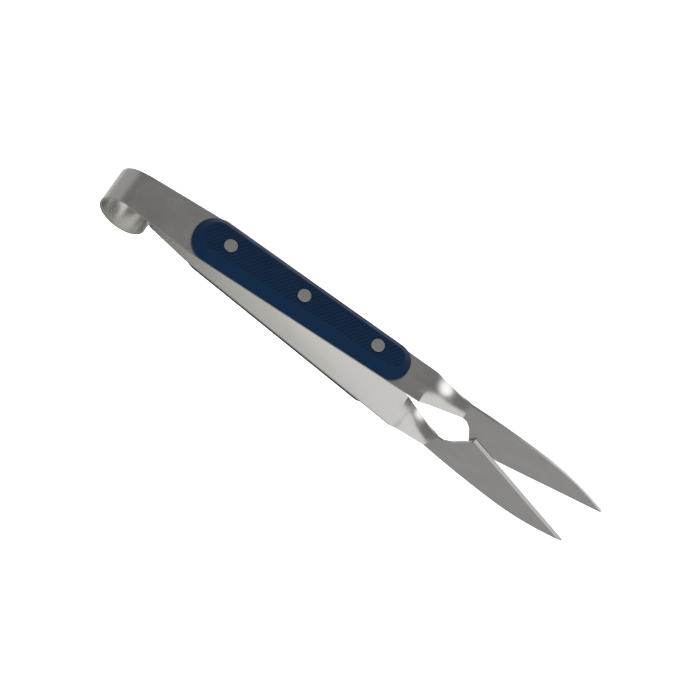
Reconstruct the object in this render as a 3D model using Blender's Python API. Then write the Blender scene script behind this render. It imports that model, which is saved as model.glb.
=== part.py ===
"""One-hand spring snips, lying on their side.

Two spring-steel arms spread from a round spring loop. Each arm carries a riveted plastic scale on
its outer face, then twists a quarter turn into a pointed blade. The blades cross like scissors
in two neighbouring planes, and the loop pushes them apart again.

Frame: +X runs towards the blade tips, +Y from the lower arm to the upper arm, +Z up, which is
across the width of the strip. The origin is under the middle of the bounding box. The two arms
are the same shape turned half a turn about the X direction through the middle of the strip.
Lengths below are in millimetres and angles in degrees; "behind" means towards the loop.
"""

import math

import bmesh
import bpy
from mathutils import Vector

MM = 0.001

# Whole tool
LENGTH = 165.0            # from the back of the loop to the blade tips
SHEET = 0.7               # thickness of the spring steel
ROW_COLUMNS = 7           # points across the strip
EDGE_SHARE = 0.12         # the second of them, as a share of the width
CREASE_LIMIT = 0.7        # keeps the corners of a sharp crease from growing long
SHARP_ANGLE = 25.0        # edges that bend more than this are shaded sharp
FIT_GAP = 0.05            # clearance between pieces that touch on the real tool

# Strip
FOLD_TO_TIP = 60.4        # fold line, where the quarter twist starts, to the blade tips
NECK_TO_FOLD = 90.9       # neck, where the arms nearly meet, to the fold line
NECK_HALF_GAP = 0.95      # middle of each strip from the mid-plane at the neck
FOLD_HALF_GAP = 12.9      # the same at the fold line
LOOP_WIDTH = 11.1         # strip width round the loop
GRIP_WIDTH = 14.05        # widest place, near the back end of the scale
WIDEST_STATION = 76.0     # its distance behind the fold line
SHOULDER_TAPER = 0.116    # width lost for each millimetre behind the widest place
FOLD_WIDTH = 10.6         # strip width at the fold line

# Scales and rivets, as distances behind the fold line
SCALE_FRONT = 7.4
SCALE_BACK = 79.4
SCALE_EDGE_HEIGHT = 1.0   # height of the scale's upright side
SCALE_HEIGHT = 4.2        # height of its flat middle
SCALE_BEVEL_WIDTH = 2.4   # sloping band between the two
SCALE_END_STEPS = 16
RIVET_STATIONS = (68.3, 43.3, 18.3)
RIVET_RADIUS = 1.95
RIVET_SIDES = 32

# Spring loop
LOOP_RADIUS = 7.2         # middle of the sheet, along the arm
LOOP_DEPTH = 8.5          # the same square to the arm: the loop is a little oval
LOOP_SWEEP = 267.0        # angle of the curl, from the upper arm round to the loop's front side
NECK_BEND_RADIUS = 1.1    # middle of the sheet in the bend back into the lower arm
LOOP_STEPS = 48
NECK_BEND_STEPS = 12

# Blade, measured forwards from the fold line and sideways from the mid-plane
TWIST_INNER_END = (13.3, 10.0)
TWIST_SPINE_END = (12.3, 20.1)
NOTCH_POINTS = (TWIST_INNER_END, (14.9, 9.7), (16.9, 7.1), (19.6, 0.35), (20.7, -4.27))
CROSSING = 29.3           # where the two cutting edges cross at rest
EDGE_SLOPE = 0.497        # sideways rise of the cutting edge for each millimetre forwards
SPINE_PEAK = (38.0, 22.3)
SPINE_DROP_BEHIND = 0.0033
SPINE_DROP_AHEAD = 0.01335
BLADE_PLANE = 0.45        # middle of each blade from the middle of the strip's width
GRIND_WIDTH = 1.1         # ground band along the cutting edge
GRIND_LIMIT = 0.45        # the most of the width that the grind takes, near the tip
EDGE_THICKNESS = 0.08
TIP_WIDTH = 0.15
TWIST_STEPS = 14
BLADE_STEPS = 20

# Virtual hinge that stands for the bending loop, measured from the neck
HINGE_BEHIND_NECK = 4.2
HINGE_BELOW_PLANE = 4.5

# Places that follow from the dimensions above
TIP_X = LENGTH / 2
FOLD_X = TIP_X - FOLD_TO_TIP
NECK_X = FOLD_X - NECK_TO_FOLD
ARM_ANGLE = math.atan((FOLD_HALF_GAP - NECK_HALF_GAP) / NECK_TO_FOLD)
ALONG = Vector((math.cos(ARM_ANGLE), math.sin(ARM_ANGLE), 0))
OUTWARD = Vector((-math.sin(ARM_ANGLE), math.cos(ARM_ANGLE), 0))
ACROSS = Vector((0, 0, 1))
MIDDLE_Z = GRIP_WIDTH / 2
LOOP_HALF_LENGTH = math.hypot(LOOP_RADIUS * ALONG.x, LOOP_DEPTH * ALONG.y)
LOOP_CENTRE_X = -LENGTH / 2 + SHEET / 2 + LOOP_HALF_LENGTH
LOOP_STATION = (FOLD_X - LOOP_CENTRE_X - LOOP_DEPTH * OUTWARD.x) / ALONG.x
HINGE = Vector((NECK_X - HINGE_BEHIND_NECK, -HINGE_BELOW_PLANE, 0))


def clear_scene():
    """Empties the scene before the snips are built."""
    for old in list(bpy.data.objects):
        bpy.data.objects.remove(old)


def make_material(name, colour, roughness, metallic):
    """A plain Principled material."""
    material = bpy.data.materials.new(name)
    material.use_nodes = True
    shader = material.node_tree.nodes["Principled BSDF"]
    shader.inputs["Base Color"].default_value = (*colour, 1.0)
    shader.inputs["Roughness"].default_value = roughness
    shader.inputs["Metallic"].default_value = metallic
    return material


def half_turn(point):
    """Carries a point of the upper arm to the same place on the lower arm."""
    return Vector((point.x, -point.y, -point.z))


def on_arm(station, side=0.0, height=0.0):
    """A point of the upper arm: behind the fold line, across the strip, above its middle."""
    fold = Vector((FOLD_X, FOLD_HALF_GAP, 0))
    return fold - ALONG * station + OUTWARD * height + ACROSS * side


def strip_width(station):
    """Width of the strip: it widens behind the fold, then narrows again to the loop."""
    if station <= WIDEST_STATION:
        return FOLD_WIDTH + (GRIP_WIDTH - FOLD_WIDTH) * station / WIDEST_STATION
    return max(LOOP_WIDTH, GRIP_WIDTH - SHOULDER_TAPER * (station - WIDEST_STATION))


def smoothstep(value):
    """An even ease from 0 to 1."""
    held = min(1.0, max(0.0, value))
    return held * held * (3 - 2 * held)


def add_node(name, points, faces, material, pivot=None):
    """One closed solid from points in millimetres, placed under its pivot if it has one."""
    origin = Vector((0, 0, 0)) if pivot is None else pivot.location
    mesh = bpy.data.meshes.new(name)
    lifted = [(point + ACROSS * MIDDLE_Z) * MM - origin for point in points]
    mesh.from_pydata([tuple(point) for point in lifted], [], faces)
    shell = bmesh.new()
    shell.from_mesh(mesh)
    bmesh.ops.recalc_face_normals(shell, faces=shell.faces)
    shell.to_mesh(mesh)
    shell.free()
    mesh.materials.append(material)
    mesh.shade_smooth()
    mesh.set_sharp_from_angle(angle=math.radians(SHARP_ANGLE))
    node = bpy.data.objects.new(name, mesh)
    node.parent = pivot
    bpy.context.scene.collection.objects.link(node)
    return node


def grid_normals(grid):
    """Normals at the points of a grid of rows, lengthened where the sheet is creased."""
    rows, columns = len(grid), len(grid[0])
    facets = {}
    for r in range(rows - 1):
        for c in range(columns - 1):
            one = grid[r + 1][c + 1] - grid[r][c]
            other = grid[r + 1][c] - grid[r][c + 1]
            facets[r, c] = one.cross(other).normalized()
    normals = []
    for r in range(rows):
        line = []
        for c in range(columns):
            near = [facets[i, j] for i in (r - 1, r) for j in (c - 1, c) if (i, j) in facets]
            mean = sum(near, Vector()).normalized()
            line.append(mean / max(mean.dot(near[0]), CREASE_LIMIT))
        normals.append(line)
    return normals


def sheet_solid(grid, trims=None):
    """Points and faces of a sheet-metal solid, from rows of points on the middle of the sheet.

    A trim maps (row, column) to the height of the front face there, in place of SHEET / 2.
    """
    trims = trims or {}
    normals = grid_normals(grid)
    count, columns = len(grid), len(grid[0])
    front, back = [], []
    for r in range(count):
        for c in range(columns):
            front.append(grid[r][c] + normals[r][c] * trims.get((r, c), SHEET / 2))
            back.append(grid[r][c] - normals[r][c] * SHEET / 2)
    size = count * columns

    def at(r, c, side):
        return side * size + r * columns + c

    faces = []
    for r in range(count - 1):
        for c in range(columns - 1):
            for side in (0, 1):
                faces.append((at(r, c, side), at(r, c + 1, side),
                              at(r + 1, c + 1, side), at(r + 1, c, side)))
        for c in (0, columns - 1):
            faces.append((at(r, c, 0), at(r + 1, c, 0), at(r + 1, c, 1), at(r, c, 1)))
    for r in (0, count - 1):
        for c in range(columns - 1):
            faces.append((at(r, c, 0), at(r, c + 1, 0), at(r, c + 1, 1), at(r, c, 1)))
    return front + back, faces


def row_between(first, last, second_share=EDGE_SHARE):
    """A row of points from edge to edge, with the second one at the given share of the width."""
    steps = ROW_COLUMNS - 2
    rest = [second_share + (1 - second_share) * i / steps for i in range(steps + 1)]
    return [first.lerp(last, share) for share in [0.0] + rest]


def inner_edge(x):
    """Sideways place of the notch and the cutting edge, x millimetres ahead of the fold."""
    for (x0, y0), (x1, y1) in zip(NOTCH_POINTS, NOTCH_POINTS[1:]):
        if x <= x1:
            return y0 + (y1 - y0) * (x - x0) / (x1 - x0)
    return EDGE_SLOPE * (x - CROSSING)


def spine_edge(x):
    """Sideways place of the blade's spine, x millimetres ahead of the fold."""
    peak_x, peak_y = SPINE_PEAK
    drop = SPINE_DROP_BEHIND if x < peak_x else SPINE_DROP_AHEAD
    return peak_y - drop * (x - peak_x) ** 2


def arm_rows(last_station):
    """Rows of the upper arm's flat strip, from its back end to just behind the fold line."""
    rows = []
    for station in (last_station, WIDEST_STATION):
        half = strip_width(station) / 2
        rows.append(row_between(on_arm(station, half), on_arm(station, -half)))
    return rows


def twist_rows():
    """Rows of the quarter twist: straight lines across, from the fold line to the blade's root."""
    near, far = on_arm(0, FOLD_WIDTH / 2), on_arm(0, -FOLD_WIDTH / 2)
    inner, spine = [Vector((FOLD_X + x, y, -BLADE_PLANE))
                    for x, y in (TWIST_INNER_END, TWIST_SPINE_END)]
    rows = []
    for step in range(TWIST_STEPS):
        t = step / TWIST_STEPS
        rows.append(row_between(near.lerp(inner, t), far.lerp(spine, t)))
    return rows


def blade_rows():
    """Rows of the flat blade, and where the grind starts among them."""
    root, heel = TWIST_INNER_END[0], NOTCH_POINTS[-1][0]
    lean = TWIST_SPINE_END[0] - root
    places = [x for x, _ in NOTCH_POINTS]
    for step in range(1, BLADE_STEPS + 1):
        places.append(heel + (FOLD_TO_TIP - heel) * math.sin(math.pi / 2 * step / BLADE_STEPS))
    rows = []
    for x in places:
        nearing = min(1.0, (x - root) / (heel - root))
        back = x + lean * (1 - nearing)
        edge = Vector((FOLD_X + x, inner_edge(x), -BLADE_PLANE))
        spine = Vector((FOLD_X + back, max(spine_edge(back), edge.y + TIP_WIDTH), -BLADE_PLANE))
        ground_share = min(GRIND_WIDTH / (spine.y - edge.y), GRIND_LIMIT)
        rows.append(row_between(edge, spine, EDGE_SHARE + (ground_share - EDGE_SHARE) * nearing))
    return rows, len(NOTCH_POINTS) - 1


def blade_arm_solid(last_station):
    """Points and faces of one arm: flat strip, quarter twist and ground blade."""
    rows = arm_rows(last_station) + twist_rows()
    first_blade_row = len(rows)
    blade, heel_row = blade_rows()
    rows += blade
    trims = {}
    for r in range(first_blade_row + heel_row, len(rows)):
        trims[r, 0] = EDGE_THICKNESS - SHEET / 2
    return sheet_solid(rows, trims)


def arc(centre, radius, start, end, steps):
    """Points of an arc in the XY plane; angles in degrees."""
    points = []
    for step in range(steps + 1):
        angle = math.radians(start + (end - start) * step / steps)
        points.append(centre + Vector((math.cos(angle), math.sin(angle), 0)) * radius)
    return points


def curl_path():
    """Middle line of the oval curl, and the direction in which it ends."""
    centre = on_arm(LOOP_STATION) - OUTWARD * LOOP_DEPTH
    path = []
    for step in range(LOOP_STEPS + 1):
        angle = math.radians(90 + LOOP_SWEEP * step / LOOP_STEPS)
        path.append(centre + ALONG * LOOP_RADIUS * math.cos(angle)
                    + OUTWARD * LOOP_DEPTH * math.sin(angle))
    rising = OUTWARD * LOOP_DEPTH * math.cos(angle) - ALONG * LOOP_RADIUS * math.sin(angle)
    return path, rising.normalized()


def loop_path():
    """Middle line of the loop, from the upper arm round the curl and the neck bend."""
    curl, rising = curl_path()
    lean = math.degrees(math.atan2(-rising.x, rising.y))
    to_bend = Vector((rising.y, -rising.x, 0)) * NECK_BEND_RADIUS
    lower_normal = Vector((math.sin(ARM_ANGLE), math.cos(ARM_ANGLE), 0))
    lower_fold = half_turn(on_arm(0))
    reach = (lower_fold - curl[-1] - to_bend).dot(lower_normal) - NECK_BEND_RADIUS
    bend_centre = curl[-1] + rising * (reach / rising.dot(lower_normal)) + to_bend
    tilt = math.degrees(ARM_ANGLE)
    bend = arc(bend_centre, NECK_BEND_RADIUS, 180 + lean, 90 - tilt, NECK_BEND_STEPS)
    return curl + bend


def neck_end_station():
    """How far behind its fold line the lower arm begins, where the neck bend ends."""
    return (on_arm(0) - half_turn(loop_path()[-1])).dot(ALONG)


def add_loop(material):
    """The spring loop that joins the two arms. Its strip widens along the neck bend."""
    path = loop_path()
    end_width = strip_width(neck_end_station())
    grid = []
    for number, point in enumerate(path):
        into_bend = smoothstep((number - LOOP_STEPS) / NECK_BEND_STEPS)
        half = ACROSS * (LOOP_WIDTH + (end_width - LOOP_WIDTH) * into_bend) / 2
        grid.append([point + half, point - half])
    points, faces = sheet_solid(grid)
    return add_node("spring_loop", points, faces, material)


def cylinder(centre, axis, radius, bottom, top):
    """Points and faces of a cylinder along an axis, between two heights from its centre."""
    side = ACROSS
    other = axis.cross(side)
    rings = []
    for height in (bottom, top):
        for step in range(RIVET_SIDES):
            angle = 2 * math.pi * step / RIVET_SIDES
            spoke = side * math.cos(angle) + other * math.sin(angle)
            rings.append(centre + axis * height + spoke * radius)
    faces = [tuple(range(RIVET_SIDES)), tuple(range(RIVET_SIDES, 2 * RIVET_SIDES))]
    for step in range(RIVET_SIDES):
        after = (step + 1) % RIVET_SIDES
        faces.append((step, after, after + RIVET_SIDES, step + RIVET_SIDES))
    return rings, faces


def scale_outline(inset):
    """The scale's outline: round ends joined by straight sides, as (station, side) pairs."""
    outline = []
    ends = ((SCALE_BACK, -1, -90), (SCALE_FRONT, 1, 90))
    for station, inward, start in ends:
        radius = strip_width(station) / 2
        middle = station + inward * radius
        reach = strip_width(middle) / 2 - inset
        for step in range(SCALE_END_STEPS + 1):
            angle = math.radians(start + 180 * step / SCALE_END_STEPS)
            outline.append((middle + reach * math.cos(angle), reach * math.sin(angle)))
    return outline


def scale_solid():
    """Points and faces of the upper scale: upright sides, a sloping band and a flat top."""
    seat = SHEET / 2 + FIT_GAP
    layers = ((0.0, 0.0), (0.0, SCALE_EDGE_HEIGHT), (SCALE_BEVEL_WIDTH, SCALE_HEIGHT))
    points = []
    for inset, height in layers:
        for station, side in scale_outline(inset):
            points.append(on_arm(station, side, seat + height))
    ring = len(points) // len(layers)
    faces = [tuple(range(ring)), tuple(range(2 * ring, 3 * ring))]
    for layer in range(len(layers) - 1):
        for step in range(ring):
            after = (step + 1) % ring
            base = layer * ring
            faces.append((base + step, base + after, base + ring + after, base + ring + step))
    return points, faces


def cut_hole(node, cutter):
    """Cuts a rivet hole with a hidden cutter."""
    hole = node.modifiers.new(cutter.name, "BOOLEAN")
    hole.operation = "DIFFERENCE"
    hole.solver = "EXACT"
    hole.object = cutter


def add_arm(side, last_station, materials, pivot):
    """One arm with its scale and rivets. The lower arm is the upper one after a half turn."""
    place = half_turn if side == "lower" else Vector.copy
    steel, plastic, pin = materials

    def put(name, solid, material):
        points, faces = solid
        return add_node(name, [place(point) for point in points], faces, material, pivot)

    arm = put(side + "_blade_arm", blade_arm_solid(last_station), steel)
    scale = put(side + "_scale", scale_solid(), plastic)
    top = SHEET / 2 + FIT_GAP + SCALE_HEIGHT
    for number, station in enumerate(RIVET_STATIONS, start=1):
        centre = on_arm(station)
        rivet = cylinder(centre, OUTWARD, RIVET_RADIUS, -SHEET / 2, top)
        put(f"{side}_rivet_{number}", rivet, pin)
        drill = cylinder(centre, OUTWARD, RIVET_RADIUS + FIT_GAP / 2, -top, 2 * top)
        cutter = put(f"{side}_drill_{number}", drill, pin)
        cutter.hide_render = True
        cutter.display_type = "WIRE"
        cut_hole(arm, cutter)
        cut_hole(scale, cutter)


def main():
    clear_scene()
    steel = make_material("satin_spring_steel", (0.42, 0.41, 0.39), 0.3, 1.0)
    plastic = make_material("navy_plastic", (0.008, 0.028, 0.095), 0.45, 0.0)
    pin = make_material("rivet_steel", (0.45, 0.45, 0.44), 0.35, 1.0)
    materials = (steel, plastic, pin)

    pivot = bpy.data.objects.new("upper_arm_pivot", None)
    pivot.location = (HINGE + ACROSS * MIDDLE_Z) * MM
    bpy.context.scene.collection.objects.link(pivot)
    bpy.context.view_layer.update()

    add_arm("upper", LOOP_STATION - FIT_GAP, materials, pivot)
    add_arm("lower", neck_end_station() - FIT_GAP, materials, None)
    add_loop(steel)


main()
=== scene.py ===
"""One-hand spring snips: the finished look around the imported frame.

The CAD nodes fix where everything is. Each one is replaced here by a finer piece with the same
outline: two stamped steel blade arms, the spring loop that joins them, two navy scales with
moulded grip ridges, and six rivets.

Frame: +X runs towards the blade tips, +Y from the lower arm to the upper arm, +Z up, across the
strip. Lengths are in millimetres and angles in degrees; "behind" means towards the loop. The
lower arm is the upper one after half a turn about the X direction.
"""

import math

import bmesh
import bpy
from mathutils import Matrix, Vector


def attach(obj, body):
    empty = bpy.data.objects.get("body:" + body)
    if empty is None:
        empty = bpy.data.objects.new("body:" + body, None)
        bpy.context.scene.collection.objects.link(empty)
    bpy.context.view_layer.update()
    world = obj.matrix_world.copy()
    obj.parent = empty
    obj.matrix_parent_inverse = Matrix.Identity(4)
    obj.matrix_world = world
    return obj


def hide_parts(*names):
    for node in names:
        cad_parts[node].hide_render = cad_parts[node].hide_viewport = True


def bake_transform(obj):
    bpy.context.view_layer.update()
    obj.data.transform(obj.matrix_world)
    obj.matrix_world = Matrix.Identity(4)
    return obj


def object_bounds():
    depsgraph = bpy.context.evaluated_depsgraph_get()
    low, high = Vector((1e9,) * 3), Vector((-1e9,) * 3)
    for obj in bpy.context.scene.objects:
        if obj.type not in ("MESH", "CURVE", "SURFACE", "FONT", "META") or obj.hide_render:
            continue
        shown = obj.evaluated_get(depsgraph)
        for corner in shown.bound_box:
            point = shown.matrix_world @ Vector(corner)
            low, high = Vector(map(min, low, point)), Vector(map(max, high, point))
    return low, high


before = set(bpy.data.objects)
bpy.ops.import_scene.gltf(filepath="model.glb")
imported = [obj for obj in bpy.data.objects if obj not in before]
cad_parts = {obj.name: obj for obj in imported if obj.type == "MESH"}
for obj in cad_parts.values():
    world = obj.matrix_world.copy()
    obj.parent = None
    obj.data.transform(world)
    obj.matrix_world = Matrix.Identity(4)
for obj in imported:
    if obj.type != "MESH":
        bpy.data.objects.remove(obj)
CAD_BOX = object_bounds()

MM = 0.001

# Strip
SHEET = 0.7
FOLD_TO_TIP = 60.4
NECK_TO_FOLD = 90.9
NECK_HALF_GAP = 0.95
FOLD_HALF_GAP = 12.9
LOOP_WIDTH = 11.1
GRIP_WIDTH = 14.05
WIDEST_STATION = 76.0
SHOULDER_TAPER = 0.116
FOLD_WIDTH = 10.6
STRIP_ROWS = 40
STRIP_COLUMNS = 18
EDGE_SHARE = 0.06         # first column's share of the width
CREASE_LIMIT = 0.7        # keeps the corners of a sharp crease from growing long

# Scales and rivets, as distances behind the fold line
SCALE_FRONT = 7.4
SCALE_BACK = 79.4
SCALE_SEAT = 0.03         # hairline between scale and strip
SCALE_EDGE_HEIGHT = 1.05
SCALE_HEIGHT = 4.25
SCALE_BEVEL_WIDTH = 2.4
SCALE_ROUNDING = 0.3      # softness of the corners of the sloping band
SCALE_ROW_STEP = 0.14
SCALE_COLUMNS = 56
SCALE_END_STEPS = 30
RIDGE_PITCH = 1.05
RIDGE_DEPTH = 0.26
RIDGE_ANGLE = 55.8        # between the ridges and the arm
RIDGE_FADE = 0.25         # length over which the grooves run out beside the sloping band
RIVET_STATIONS = (68.3, 43.3, 18.3)
RIVET_RADIUS = 1.95
RIVET_CHAMFER = 0.1
RIVET_PROUD = 0.04
RIVET_RECESS = 0.15       # the rivet's inner end is polished away level with the strip
RIVET_SIDES = 64
COLLAR_RADIUS = 2.2       # plain moulded ring round each rivet
COLLAR_DEPTH = 0.6
COLLAR_GAP = 0.06         # hairline between the rivet and its ring

# Spring loop
LOOP_RADIUS = 7.2
LOOP_DEPTH = 8.5
LOOP_SWEEP = 267.0
NECK_BEND_RADIUS = 1.1
LOOP_STEPS = 96
NECK_BEND_STEPS = 18
LOOP_COLUMNS = 8
BEND_RUN_STEPS = 6        # points along the straight run into the neck bend

# Blade, measured forwards from the fold line and sideways from the mid-plane
TWIST_INNER_END = (13.3, 10.0)
TWIST_SPINE_END = (12.3, 20.1)
NOTCH_POINTS = (TWIST_INNER_END, (14.9, 9.7), (16.9, 7.1), (19.6, 0.35), (20.7, -4.27))
CROSSING = 29.3
EDGE_SLOPE = 0.497
SPINE_PEAK = (38.0, 22.3)
SPINE_DROP_BEHIND = 0.0033
SPINE_DROP_AHEAD = 0.01335
TWIST_ROWS = 36
BLADE_PLANE = 0.41
BLADE_ROWS = 60
GRIND_WIDTH = 1.1
GRIND_LIMIT = 0.45        # the most of the width that the grind takes, near the tip
EDGE_THICKNESS = 0.08
TIP_WIDTH = 0.15

# Places that follow from the dimensions above
TIP_X = CAD_BOX[1].x / MM
FOLD_X = TIP_X - FOLD_TO_TIP
ARM_ANGLE = math.atan((FOLD_HALF_GAP - NECK_HALF_GAP) / NECK_TO_FOLD)
ALONG = Vector((math.cos(ARM_ANGLE), math.sin(ARM_ANGLE), 0))
OUTWARD = Vector((-math.sin(ARM_ANGLE), math.cos(ARM_ANGLE), 0))
ACROSS = Vector((0, 0, 1))
MIDDLE_Z = GRIP_WIDTH / 2
LOOP_HALF_LENGTH = math.hypot(LOOP_RADIUS * ALONG.x, LOOP_DEPTH * ALONG.y)
LOOP_CENTRE_X = CAD_BOX[0].x / MM + SHEET / 2 + LOOP_HALF_LENGTH
LOOP_STATION = (FOLD_X - LOOP_CENTRE_X - LOOP_DEPTH * OUTWARD.x) / ALONG.x

# Camera: where the middle of the picture looks, and the camera's own axes
CAMERA_RIGHT = Vector((0.7931, 0.3181, -0.5195))
CAMERA_UP = Vector((-0.6006, 0.2658, -0.7541))
CAMERA_BACK = Vector((-0.1017, 0.9100, 0.4018))
CAMERA_TARGET = Vector((0, 0, MIDDLE_Z)) - 0.48 * CAMERA_RIGHT + 0.62 * CAMERA_UP
CAMERA_DISTANCE = 1695.0
CAMERA_LENS = 307.5


# ---------------------------------------------------------------- shape helpers

def half_turn(point):
    """Carries a point of the upper arm to the same place on the lower arm."""
    return Vector((point.x, -point.y, -point.z))


def on_arm(station, side=0.0, height=0.0):
    """A point of the upper arm: behind the fold line, across the strip, above its middle."""
    fold = Vector((FOLD_X, FOLD_HALF_GAP, 0))
    return fold - ALONG * station + OUTWARD * height + ACROSS * side


def smoothstep(value):
    """An even ease from 0 to 1."""
    held = min(1.0, max(0.0, value))
    return held * held * (3 - 2 * held)


def strip_width(station):
    """Width of the strip: it widens behind the fold, then narrows again to the loop."""
    if station <= WIDEST_STATION:
        return FOLD_WIDTH + (GRIP_WIDTH - FOLD_WIDTH) * station / WIDEST_STATION
    return max(LOOP_WIDTH, GRIP_WIDTH - SHOULDER_TAPER * (station - WIDEST_STATION))


def inner_edge(x):
    """Sideways place of the notch and the cutting edge, x millimetres ahead of the fold."""
    for (x0, y0), (x1, y1) in zip(NOTCH_POINTS, NOTCH_POINTS[1:]):
        if x <= x1:
            return y0 + (y1 - y0) * (x - x0) / (x1 - x0)
    return EDGE_SLOPE * (x - CROSSING)


def spine_edge(x):
    """Sideways place of the blade's spine, x millimetres ahead of the fold."""
    peak_x, peak_y = SPINE_PEAK
    drop = SPINE_DROP_BEHIND if x < peak_x else SPINE_DROP_AHEAD
    return peak_y - drop * (x - peak_x) ** 2


def row_between(first, last, second_share):
    """A row of points from edge to edge, with the second one at the given share of the width."""
    steps = STRIP_COLUMNS - 1
    rest = [second_share + (1 - second_share) * i / steps for i in range(STRIP_COLUMNS)]
    return [first.lerp(last, share) for share in [0.0] + rest]


def arm_rows(last_station):
    """Rows of the flat strip, from its back end to just behind the fold line."""
    rows = []
    for step in range(STRIP_ROWS):
        station = last_station * (1 - step / STRIP_ROWS)
        half = strip_width(station) / 2
        rows.append(row_between(on_arm(station, half), on_arm(station, -half), EDGE_SHARE))
    return rows


def twist_rows():
    """Rows of the quarter twist: straight lines across, from the fold line to the blade's root."""
    near, far = on_arm(0, FOLD_WIDTH / 2), on_arm(0, -FOLD_WIDTH / 2)
    inner, spine = [Vector((FOLD_X + x, y, -BLADE_PLANE))
                    for x, y in (TWIST_INNER_END, TWIST_SPINE_END)]
    rows = []
    for step in range(TWIST_ROWS):
        t = step / TWIST_ROWS
        rows.append(row_between(near.lerp(inner, t), far.lerp(spine, t), EDGE_SHARE))
    return rows


def blade_rows():
    """Rows of the flat blade, and where the grind starts among them."""
    root = TWIST_INNER_END[0]
    heel = NOTCH_POINTS[-1][0]
    lean = TWIST_SPINE_END[0] - root
    places = [root]
    for (x0, _), (x1, _) in zip(NOTCH_POINTS, NOTCH_POINTS[1:]):
        places += [x0 + (x1 - x0) * i / 3 for i in (1, 2, 3)]
    heel_row = len(places) - 1
    for step in range(1, BLADE_ROWS + 1):
        places.append(heel + (FOLD_TO_TIP - heel) * math.sin(math.pi / 2 * step / BLADE_ROWS))
    rows = []
    for x in places:
        nearing = min(1.0, max(0.0, (x - root) / (heel - root)))
        back = x + lean * (1 - nearing)
        edge = Vector((FOLD_X + x, inner_edge(x), -BLADE_PLANE))
        spine = Vector((FOLD_X + back, max(spine_edge(back), edge.y + TIP_WIDTH), -BLADE_PLANE))
        ground_share = min(GRIND_WIDTH / (spine.y - edge.y), GRIND_LIMIT)
        rows.append(row_between(edge, spine, EDGE_SHARE + (ground_share - EDGE_SHARE) * nearing))
    return rows, heel_row


def grid_normals(grid):
    """Normals at the points of a grid of rows, lengthened where the sheet is creased."""
    rows, columns = len(grid), len(grid[0])
    facets = {}
    for r in range(rows - 1):
        for c in range(columns - 1):
            one = grid[r + 1][c + 1] - grid[r][c]
            other = grid[r + 1][c] - grid[r][c + 1]
            facets[r, c] = one.cross(other).normalized()
    normals = []
    for r in range(rows):
        line = []
        for c in range(columns):
            near = [facets[i, j] for i in (r - 1, r) for j in (c - 1, c) if (i, j) in facets]
            mean = sum(near, Vector()).normalized()
            line.append(mean / max(mean.dot(near[0]), CREASE_LIMIT))
        normals.append(line)
    return normals


def sheet_solid(grid, ground_from=None):
    """Points, faces and UVs of a sheet-metal solid, from rows of points on its middle.

    The UVs run in centimetres: across the strip, and along it. From the row ground_from on, the
    front face slopes down to the cutting edge. The faces of that slope come back as a set.
    """
    normals = grid_normals(grid)
    count, columns = len(grid), len(grid[0])
    front, back, front_uvs = [], [], []
    run = 0.0
    for r in range(count):
        if r:
            run += (grid[r][columns // 2] - grid[r - 1][columns // 2]).length
        for c in range(columns):
            above = SHEET / 2
            if ground_from is not None and c == 0 and r >= ground_from:
                above = EDGE_THICKNESS - SHEET / 2
            front.append(grid[r][c] + normals[r][c] * above)
            back.append(grid[r][c] - normals[r][c] * SHEET / 2)
            front_uvs.append(((grid[r][c] - grid[r][0]).length / 10, run / 10))
    size = count * columns

    def at(r, c, side):
        return side * size + r * columns + c

    faces, ground = [], set()
    for r in range(count - 1):
        for c in range(columns - 1):
            for side in (0, 1):
                if side == 0 and c == 0 and ground_from is not None and r >= ground_from:
                    ground.add(len(faces))
                faces.append((at(r, c, side), at(r, c + 1, side),
                              at(r + 1, c + 1, side), at(r + 1, c, side)))
        for c in (0, columns - 1):
            faces.append((at(r, c, 0), at(r + 1, c, 0), at(r + 1, c, 1), at(r, c, 1)))
    for r in (0, count - 1):
        for c in range(columns - 1):
            faces.append((at(r, c, 0), at(r, c + 1, 0), at(r, c + 1, 1), at(r, c, 1)))
    return front + back, faces, front_uvs + front_uvs, ground


def curl_path():
    """Middle line of the oval curl, and the direction in which it ends."""
    centre = on_arm(LOOP_STATION) - OUTWARD * LOOP_DEPTH
    path = []
    for step in range(LOOP_STEPS + 1):
        angle = math.radians(90 + LOOP_SWEEP * step / LOOP_STEPS)
        path.append(centre + ALONG * LOOP_RADIUS * math.cos(angle)
                    + OUTWARD * LOOP_DEPTH * math.sin(angle))
    rising = OUTWARD * LOOP_DEPTH * math.cos(angle) - ALONG * LOOP_RADIUS * math.sin(angle)
    return path, rising.normalized()


def loop_path():
    """Middle line of the loop, from the upper arm round the curl and the neck bend."""
    curl, rising = curl_path()
    lean = math.atan2(-rising.x, rising.y)
    to_bend = Vector((rising.y, -rising.x, 0)) * NECK_BEND_RADIUS
    lower_normal = Vector((math.sin(ARM_ANGLE), math.cos(ARM_ANGLE), 0))
    lower_fold = half_turn(on_arm(0))
    reach = (lower_fold - curl[-1] - to_bend).dot(lower_normal) - NECK_BEND_RADIUS
    centre = curl[-1] + rising * (reach / rising.dot(lower_normal)) + to_bend
    first, last = math.pi + lean, math.pi / 2 - ARM_ANGLE
    bend = []
    for step in range(NECK_BEND_STEPS + 1):
        angle = first + (last - first) * step / NECK_BEND_STEPS
        bend.append(centre + Vector((math.cos(angle), math.sin(angle), 0)) * NECK_BEND_RADIUS)
    straight = [curl[-1].lerp(bend[0], i / BEND_RUN_STEPS) for i in range(1, BEND_RUN_STEPS)]
    return curl + straight + bend


def neck_end_station():
    """How far behind its fold line the lower arm begins, where the neck bend ends."""
    return (on_arm(0) - half_turn(loop_path()[-1])).dot(ALONG)


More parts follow.
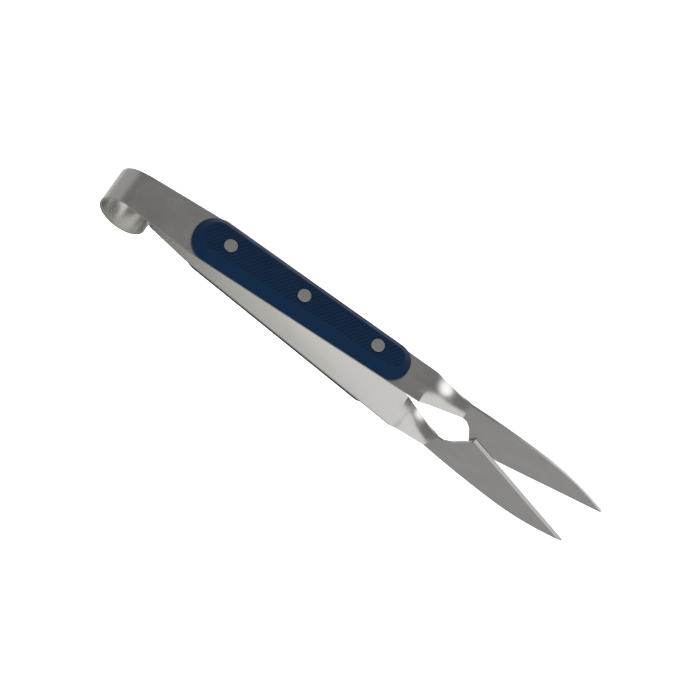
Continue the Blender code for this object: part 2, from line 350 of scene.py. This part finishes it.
def loop_solid():
    """The spring loop. Its strip widens along the neck bend to meet the lower arm."""
    path = loop_path()
    end_width = strip_width(neck_end_station())
    bend_start = len(path) - NECK_BEND_STEPS - 1
    grid = []
    for number, point in enumerate(path):
        into_bend = smoothstep((number - bend_start) / NECK_BEND_STEPS)
        half = ACROSS * (LOOP_WIDTH + (end_width - LOOP_WIDTH) * into_bend) / 2
        first, last = point + half, point - half
        grid.append([first.lerp(last, i / LOOP_COLUMNS) for i in range(LOOP_COLUMNS + 1)])
    return sheet_solid(grid)


def scale_ends():
    """Middle and radius of the scale's round back end and front end."""
    ends = []
    for station, inward in ((SCALE_BACK, -1), (SCALE_FRONT, 1)):
        middle = station + inward * strip_width(station) / 2
        ends.append((middle, strip_width(middle) / 2))
    return ends


def scale_rows():
    """Stations of the scale's rows with its half width there, from its back end forwards."""
    (back, back_radius), (front, front_radius) = scale_ends()
    turns = [math.pi / 2 * (1 - 0.985 * (i / SCALE_END_STEPS) ** 1.6)
             for i in range(SCALE_END_STEPS, -1, -1)]
    rows = []
    for turn in turns:
        rows.append((back + back_radius * math.cos(turn), back_radius * math.sin(turn)))
    count = int((back - front) / SCALE_ROW_STEP)
    for step in range(1, count):
        share = step / count
        half = back_radius + (front_radius - back_radius) * share
        rows.append((back + (front - back) * share, half))
    for turn in reversed(turns):
        rows.append((front - front_radius * math.cos(turn), front_radius * math.sin(turn)))
    return rows


def scale_inset(station, side):
    """Distance in from the scale's outline."""
    (back, back_radius), (front, front_radius) = scale_ends()
    if station > back:
        return back_radius - math.hypot(station - back, side)
    if station < front:
        return front_radius - math.hypot(station - front, side)
    share = (back - station) / (back - front)
    return back_radius + (front_radius - back_radius) * share - abs(side)


def groove_depth(station, side):
    """How deep a slanting groove is there, as a share of the full depth."""
    inset = scale_inset(station, side)
    lean = math.radians(RIDGE_ANGLE)
    phase = (-station * math.sin(lean) + side * math.cos(lean)) / RIDGE_PITCH
    groove = (0.5 - 0.5 * math.cos(2 * math.pi * phase)) ** 1.5
    return groove * smoothstep((inset - SCALE_BEVEL_WIDTH - 0.05) / RIDGE_FADE)


def scale_height(station, side):
    """Height of the scale's surface: a sloping band, then a flat top cut by slanting grooves."""
    inset = scale_inset(station, side)
    slope = (SCALE_HEIGHT - SCALE_EDGE_HEIGHT) / SCALE_BEVEL_WIDTH
    ramp = SCALE_EDGE_HEIGHT + slope * max(0.0, inset)
    gap = max(0.0, SCALE_ROUNDING - abs(ramp - SCALE_HEIGHT)) / SCALE_ROUNDING
    height = min(ramp, SCALE_HEIGHT) - gap * gap * SCALE_ROUNDING / 4
    return height - RIDGE_DEPTH * groove_depth(station, side)


def scale_solid():
    """Points, faces and UVs of the upper scale, as a fine grid over its outline."""
    rows = scale_rows()
    count, columns = len(rows), SCALE_COLUMNS + 1
    seat = SHEET / 2 + SCALE_SEAT
    points, uvs = [], []
    for level in ("top", "seat"):
        for station, half in rows:
            for c in range(columns):
                side = half * math.sin(math.pi / 2 * (2 * c / SCALE_COLUMNS - 1))
                height = scale_height(station, side) if level == "top" else 0.0
                points.append(on_arm(station, side, seat + height))
                uvs.append((station / 10, side / 10))
    size = count * columns
    faces = []
    for level in (0, 1):
        for r in range(count - 1):
            for c in range(columns - 1):
                a = level * size + r * columns + c
                faces.append((a, a + 1, a + columns + 1, a + columns))
    for r in range(count - 1):
        for c in (0, columns - 1):
            a = r * columns + c
            faces.append((a, a + columns, a + columns + size, a + size))
    for r in (0, count - 1):
        for c in range(columns - 1):
            a = r * columns + c
            faces.append((a, a + 1, a + 1 + size, a + size))
    return points, faces, uvs


def scale_shades():
    """The groove depth at each point of the scale, in the order of its points: how much painted
    shade each point gets.
    """
    shades = []
    for station, half in scale_rows():
        for c in range(SCALE_COLUMNS + 1):
            side = half * math.sin(math.pi / 2 * (2 * c / SCALE_COLUMNS - 1))
            shades.append(groove_depth(station, side))
    return shades + [0.0] * len(shades)


def turned(profile, centre, sides):
    """Points, faces and UVs of a profile of (radius, height) pairs turned about OUTWARD."""
    other = OUTWARD.cross(ACROSS)
    points, uvs, faces = [], [], []
    for radius, height in profile:
        for step in range(sides):
            angle = 2 * math.pi * step / sides
            spoke = ACROSS * math.cos(angle) + other * math.sin(angle)
            points.append(centre + OUTWARD * height + spoke * radius)
            uvs.append((radius * math.cos(angle) / 10, radius * math.sin(angle) / 10))
    for ring in range(len(profile) - 1):
        for step in range(sides):
            after = (step + 1) % sides
            a, b = ring * sides, (ring + 1) * sides
            faces.append((a + step, a + after, b + after, b + step))
    return points, faces, uvs


def rivet_solid(station):
    """A rivet with ground, slightly chamfered ends."""
    top = SHEET / 2 + SCALE_SEAT + SCALE_HEIGHT + RIVET_PROUD
    bottom = -SHEET / 2 + RIVET_RECESS
    shoulder = RIVET_RADIUS - RIVET_CHAMFER
    profile = [(0.02, bottom), (RIVET_RADIUS, bottom), (RIVET_RADIUS, top - RIVET_CHAMFER),
               (shoulder, top), (0.02, top)]
    points, faces, uvs = turned(profile, on_arm(station), RIVET_SIDES)
    last = len(points) - RIVET_SIDES
    faces += [tuple(range(RIVET_SIDES)), tuple(range(last, len(points)))]
    return points, faces, uvs


def collar_solid(station):
    """The plain ring of plastic round a rivet, level with the tops of the ridges."""
    top = SHEET / 2 + SCALE_SEAT + SCALE_HEIGHT
    bottom, inner = top - COLLAR_DEPTH, RIVET_RADIUS + COLLAR_GAP
    profile = [(inner, bottom), (inner, top - 0.08), (inner + 0.08, top),
               (COLLAR_RADIUS, top), (COLLAR_RADIUS + 0.2, bottom)]
    profile.append(profile[0])
    return turned(profile, on_arm(station), RIVET_SIDES)


# ---------------------------------------------------------------- materials

def new_material(name):
    """A material with its Principled shader, its nodes and a function that adds a node."""
    material = bpy.data.materials.new(name)
    material.use_nodes = True
    tree = material.node_tree

    def add(kind, **inputs):
        node = tree.nodes.new(kind)
        for key, value in inputs.items():
            node.inputs[key].default_value = value
        return node

    return material, tree, tree.nodes["Principled BSDF"], add


def ramp_between(tree, add, source, low, high, first, last):
    """A Map Range node that takes source from low..high to first..last."""
    ranged = add("ShaderNodeMapRange")
    for key, value in (("From Min", low), ("From Max", high), ("To Min", first), ("To Max", last)):
        ranged.inputs[key].default_value = value
    tree.links.new(source, ranged.inputs["Value"])
    return ranged.outputs["Result"]


def colour_between(tree, add, factor, dark, light):
    """A colour ramp from dark to light."""
    ramp = add("ShaderNodeValToRGB")
    ramp.color_ramp.elements[0].color = (*dark, 1)
    ramp.color_ramp.elements[1].color = (*light, 1)
    tree.links.new(factor, ramp.inputs["Fac"])
    return ramp.outputs["Color"]


def scaled_noise(tree, add, source, scale, detail):
    """Noise over coordinates that are first stretched by scale."""
    mapping = add("ShaderNodeMapping", Scale=scale)
    noise = add("ShaderNodeTexNoise", Scale=1.0, Detail=detail)
    tree.links.new(source, mapping.inputs["Vector"])
    tree.links.new(mapping.outputs["Vector"], noise.inputs["Vector"])
    return noise.outputs["Fac"]


def steel_material(name, dark, light, grain_scale, roughness, bump_strength):
    """Bare spring steel: a directional grain, faint clouding, and roughness that follows both."""
    material, tree, shader, add = new_material(name)
    uv = add("ShaderNodeUVMap").outputs["UV"]
    place = add("ShaderNodeTexCoord").outputs["Object"]
    grain = scaled_noise(tree, add, uv, grain_scale, 5.0)
    cloud = scaled_noise(tree, add, place, (140.0, 140.0, 140.0), 3.0)
    mixed = add("ShaderNodeMath")
    mixed.operation = "MULTIPLY_ADD"
    mixed.inputs[1].default_value = 0.55
    tree.links.new(grain, mixed.inputs[0])
    tree.links.new(ramp_between(tree, add, cloud, 0.3, 0.7, 0.0, 0.45), mixed.inputs[2])
    pattern = mixed.outputs["Value"]
    shader.inputs["Metallic"].default_value = 1.0
    tree.links.new(colour_between(tree, add, pattern, dark, light), shader.inputs["Base Color"])
    rough = ramp_between(tree, add, pattern, 0.25, 0.75, roughness - 0.03, roughness + 0.03)
    tree.links.new(rough, shader.inputs["Roughness"])
    bump = add("ShaderNodeBump", Strength=bump_strength, Distance=0.00002)
    tree.links.new(grain, bump.inputs["Height"])
    tree.links.new(bump.outputs["Normal"], shader.inputs["Normal"])
    return material


def plastic_material():
    """Navy moulded plastic: semi-matt, with a fine spark-eroded skin, and painted shade that
    darkens the grooves.
    """
    material, tree, shader, add = new_material("navy_plastic")
    place = add("ShaderNodeTexCoord").outputs["Object"]
    skin = scaled_noise(tree, add, place, (4200.0, 4200.0, 4200.0), 3.0)
    mottle = scaled_noise(tree, add, place, (220.0, 220.0, 220.0), 4.0)
    # Painted shade: the deeper a groove, the more the navy is mixed towards near-black, up to 0.4,
    # standing in for the shade in the grooves.
    groove = add("ShaderNodeAttribute")
    groove.attribute_name = "groove"
    painted_groove_shade_mix = add("ShaderNodeMix")
    painted_groove_shade_mix.data_type = "RGBA"
    # near-black navy of the painted groove shade
    painted_groove_shade_mix.inputs["B"].default_value = (0.0008, 0.004, 0.014, 1)
    surface = colour_between(tree, add, mottle, (0.0029, 0.0132, 0.0355), (0.0037, 0.0158, 0.0425))
    tree.links.new(surface, painted_groove_shade_mix.inputs["A"])
    tree.links.new(ramp_between(tree, add, groove.outputs["Fac"], 0.0, 1.0, 0.0, 0.4),
                   painted_groove_shade_mix.inputs["Factor"])
    tree.links.new(painted_groove_shade_mix.outputs["Result"], shader.inputs["Base Color"])
    rough = ramp_between(tree, add, mottle, 0.3, 0.7, 0.44, 0.54)
    tree.links.new(rough, shader.inputs["Roughness"])
    shader.inputs["Specular IOR Level"].default_value = 0.05
    bump = add("ShaderNodeBump", Strength=0.2, Distance=0.00003)
    tree.links.new(skin, bump.inputs["Height"])
    tree.links.new(bump.outputs["Normal"], shader.inputs["Normal"])
    return material


def rivet_material():
    """Turned rivet ends: fine rings and a little clouding on grey steel."""
    material, tree, shader, add = new_material("turned_rivet_steel")
    uv = add("ShaderNodeUVMap").outputs["UV"]
    rings = add("ShaderNodeTexWave", Scale=28.0, Distortion=0.6, Detail=2.0)
    rings.wave_type = "RINGS"
    rings.rings_direction = "Z"
    tree.links.new(uv, rings.inputs["Vector"])
    cloud = scaled_noise(tree, add, uv, (14.0, 14.0, 14.0), 3.0)
    dark, light = (0.48, 0.48, 0.468), (0.60, 0.60, 0.585)
    tree.links.new(colour_between(tree, add, cloud, dark, light), shader.inputs["Base Color"])
    shader.inputs["Metallic"].default_value = 1.0
    rough = ramp_between(tree, add, rings.outputs["Fac"], 0.0, 1.0, 0.36, 0.46)
    tree.links.new(rough, shader.inputs["Roughness"])
    bump = add("ShaderNodeBump", Strength=0.12, Distance=0.00002)
    tree.links.new(rings.outputs["Fac"], bump.inputs["Height"])
    tree.links.new(bump.outputs["Normal"], shader.inputs["Normal"])
    return material


def floor_material():
    """Pale studio paper with a barely visible tooth."""
    material, tree, shader, add = new_material("studio_paper")
    place = add("ShaderNodeTexCoord").outputs["Object"]
    tooth = scaled_noise(tree, add, place, (30.0, 30.0, 30.0), 3.0)
    dark, light = (0.90, 0.90, 0.90), (0.93, 0.93, 0.93)
    paper = colour_between(tree, add, tooth, dark, light)
    tree.links.new(paper, shader.inputs["Base Color"])
    tree.links.new(paper, shader.inputs["Emission Color"])
    shader.inputs["Emission Strength"].default_value = 1.0
    shader.inputs["Roughness"].default_value = 0.9
    shader.inputs["Specular IOR Level"].default_value = 0.1
    return material


# ---------------------------------------------------------------- pieces

def add_piece(name, solid, materials, sharp_angle=25.0, shades=None):
    """One visual piece from points in millimetres, measured from the middle of the strip.

    The painted shades, one for each point, become the attribute that paints shade into the scale's
    grooves.
    """
    points, faces, uvs = solid[:3]
    ground = solid[3] if len(solid) > 3 else set()
    mesh = bpy.data.meshes.new(name)
    lifted = [(point + ACROSS * MIDDLE_Z) * MM for point in points]
    mesh.from_pydata([tuple(point) for point in lifted], [], faces)
    layer = mesh.uv_layers.new(name="UVMap")
    for loop in mesh.loops:
        layer.data[loop.index].uv = uvs[loop.vertex_index]
    for material in materials:
        mesh.materials.append(material)
    for face in ground:
        mesh.polygons[face].material_index = 1
    # The painted shade for the scale's grooves is stored per point as the groove attribute.
    if shades:
        shade = mesh.attributes.new("groove", "FLOAT", "POINT")
        shade.data.foreach_set("value", shades)
    shell = bmesh.new()
    shell.from_mesh(mesh)
    bmesh.ops.recalc_face_normals(shell, faces=shell.faces)
    shell.to_mesh(mesh)
    shell.free()
    mesh.shade_smooth()
    mesh.set_sharp_from_angle(angle=math.radians(sharp_angle))
    piece = bpy.data.objects.new(name, mesh)
    bpy.context.scene.collection.objects.link(piece)
    return piece


def joined(solids):
    """Several solids as one list of points, faces and UVs."""
    points, faces, uvs = [], [], []
    for solid in solids:
        start = len(points)
        points += solid[0]
        faces += [tuple(start + i for i in face) for face in solid[1]]
        uvs += solid[2]
    return points, faces, uvs


def add_arm(side, last_station, steel, ground_steel, plastic, pin):
    """One arm with its scale and rivets, riding on its body."""
    place = half_turn if side == "lower" else Vector.copy
    body = side + "_arm"

    def put(name, node, solid, materials, slot, **options):
        turned_solid = ([place(point) for point in solid[0]], *solid[1:])
        piece = add_piece(name, turned_solid, materials, **options)
        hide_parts(node)
        return piece

    rows = arm_rows(last_station) + twist_rows()
    blade, heel_row = blade_rows()
    solid = sheet_solid(rows + blade, ground_from=len(rows) + heel_row)
    arm = put(side + "_blade_arm_finish", side + "_blade_arm", solid,
              (steel, ground_steel), "spring_steel", sharp_angle=8.0)
    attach(arm, body)
    plate = scale_solid()
    whole = joined([plate] + [collar_solid(station) for station in RIVET_STATIONS])
    # Painted shade for the grooves; the collars get none.
    shades = scale_shades()
    shades += [0.0] * (len(whole[0]) - len(shades))
    scale = put(side + "_scale_finish", side + "_scale", whole,
                (plastic,), "navy_plastic", sharp_angle=40.0, shades=shades)
    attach(scale, body)
    for number, station in enumerate(RIVET_STATIONS, start=1):
        rivet = put(f"{side}_rivet_finish_{number}", f"{side}_rivet_{number}",
                    rivet_solid(station), (pin,), "rivet_steel")
        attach(rivet, body)


def add_loop(steel):
    """The spring loop, which bends from the lower arm to the upper one."""
    loop = add_piece("spring_loop_finish", loop_solid(), (steel,))
    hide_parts("spring_loop")
    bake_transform(loop)


# ---------------------------------------------------------------- studio

def add_floor():
    """A wide plain floor on the plane that the snips lie on."""
    mesh = bpy.data.meshes.new("floor")
    reach = 6.0
    corners = [(-reach, -reach, 0), (reach, -reach, 0), (reach, reach, 0), (-reach, reach, 0)]
    mesh.from_pydata(corners, [], [(0, 1, 2, 3)])
    mesh.materials.append(floor_material())
    floor = bpy.data.objects.new("floor", mesh)
    floor.location.z = CAD_BOX[0].z - 0.0002
    floor.visible_glossy = False
    bpy.context.scene.collection.objects.link(floor)


def lobe(tree, add, direction, toward, outer, inner):
    """How far a world direction lies inside a soft-edged cone: 0 outside, 1 inside."""
    aim = add("ShaderNodeVectorMath")
    aim.operation = "DOT_PRODUCT"
    aim.inputs[1].default_value = Vector(toward).normalized()
    tree.links.new(direction, aim.inputs[0])
    ranged = add("ShaderNodeMapRange")
    ranged.interpolation_type = "SMOOTHSTEP"
    ranged.inputs["From Min"].default_value = math.cos(math.radians(outer))
    ranged.inputs["From Max"].default_value = math.cos(math.radians(inner))
    tree.links.new(aim.outputs["Value"], ranged.inputs["Value"])
    return ranged.outputs["Result"]


def add_world():
    """Soft studio surroundings, told by direction only: grey flags, pale screens, a softbox."""
    world = bpy.data.worlds.new("studio")
    world.use_nodes = True
    bpy.context.scene.world = world
    tree = world.node_tree
    background = tree.nodes["Background"]

    def add(kind):
        return tree.nodes.new(kind)

    direction = add("ShaderNodeTexCoord").outputs["Generated"]
    level = None
    for toward, outer, inner, strength in WORLD_LOBES:
        mix = add("ShaderNodeMix")
        mix.data_type = "FLOAT"
        if level is None:
            mix.inputs[2].default_value = ROOM_LEVEL
        else:
            tree.links.new(level, mix.inputs[2])
        mix.inputs[3].default_value = strength
        tree.links.new(lobe(tree, add, direction, toward, outer, inner), mix.inputs[0])
        level = mix.outputs[0]
    tree.links.new(level, background.inputs["Strength"])
    background.inputs["Color"].default_value = (1.0, 0.988, 0.97, 1.0)


def add_area(name, place, size, power, glossy):
    """A square area light that faces the object."""
    data = bpy.data.lights.new(name, "AREA")
    data.energy = power
    data.size = size
    light = bpy.data.objects.new(name, data)
    light.location = place
    light.rotation_mode = "QUATERNION"
    light.rotation_quaternion = (-Vector(place)).to_track_quat("-Z", "Y")
    light.visible_glossy = glossy
    bpy.context.scene.collection.objects.link(light)


def add_camera():
    """The camera at the photograph's angle."""
    data = bpy.data.cameras.new("camera")
    data.lens = CAMERA_LENS
    data.sensor_width = 36.0
    data.clip_end = 50.0
    camera = bpy.data.objects.new("camera", data)
    back = CAMERA_BACK.normalized()
    right = CAMERA_UP.cross(back).normalized()
    up = back.cross(right)
    turn = Matrix((right, up, back)).transposed()
    camera.matrix_world = Matrix.Translation((CAMERA_TARGET + back * CAMERA_DISTANCE) * MM) \
        @ turn.to_4x4()
    bpy.context.scene.collection.objects.link(camera)
    bpy.context.scene.camera = camera


# Brightness of the room all round, and the cones that differ from it, each one laid over those
# before it: direction, angle where it starts, angle where it is full, brightness there
ROOM_LEVEL = 0.30
WORLD_LOBES = (
    ((-0.20, -0.50, 0.84), 44.0, 22.0, 0.175),
    ((0.0, 0.0, -1.0), 86.0, 76.0, 0.60),
    ((0.0, 0.0, -1.0), 50.0, 25.0, 1.30),
    ((-0.60, 0.72, -0.38), 66.0, 26.0, 0.165),
    ((-0.95, -0.10, -0.29), 50.0, 20.0, 0.34),
    ((1.0, 0.0, 0.0), 82.0, 70.0, 0.74),
    ((0.85, 0.50, 0.12), 66.0, 55.0, 0.74),
    ((-0.68, 0.60, 0.42), 40.0, 5.0, 1.3),
)


def main():
    steel = steel_material("brushed_spring_steel", (0.76, 0.755, 0.735), (0.84, 0.835, 0.815),
                           (60.0, 1.2, 1.0), 0.25, 0.05)
    ground_steel = steel_material("ground_edge_steel", (0.60, 0.60, 0.59), (0.68, 0.68, 0.67),
                                  (2.0, 90.0, 1.0), 0.3, 0.2)
    plastic = plastic_material()
    pin = rivet_material()
    add_arm("upper", LOOP_STATION, steel, ground_steel, plastic, pin)
    add_arm("lower", neck_end_station(), steel, ground_steel, plastic, pin)
    add_loop(steel)
    add_floor()
    add_world()
    add_area("overhead_fill", (0.1, 0.1, 1.2), 1.0, 14.0, glossy=False)
    add_camera()
    view = bpy.context.scene.view_settings
    view.view_transform = "Standard"
    view.look = "None"


main()
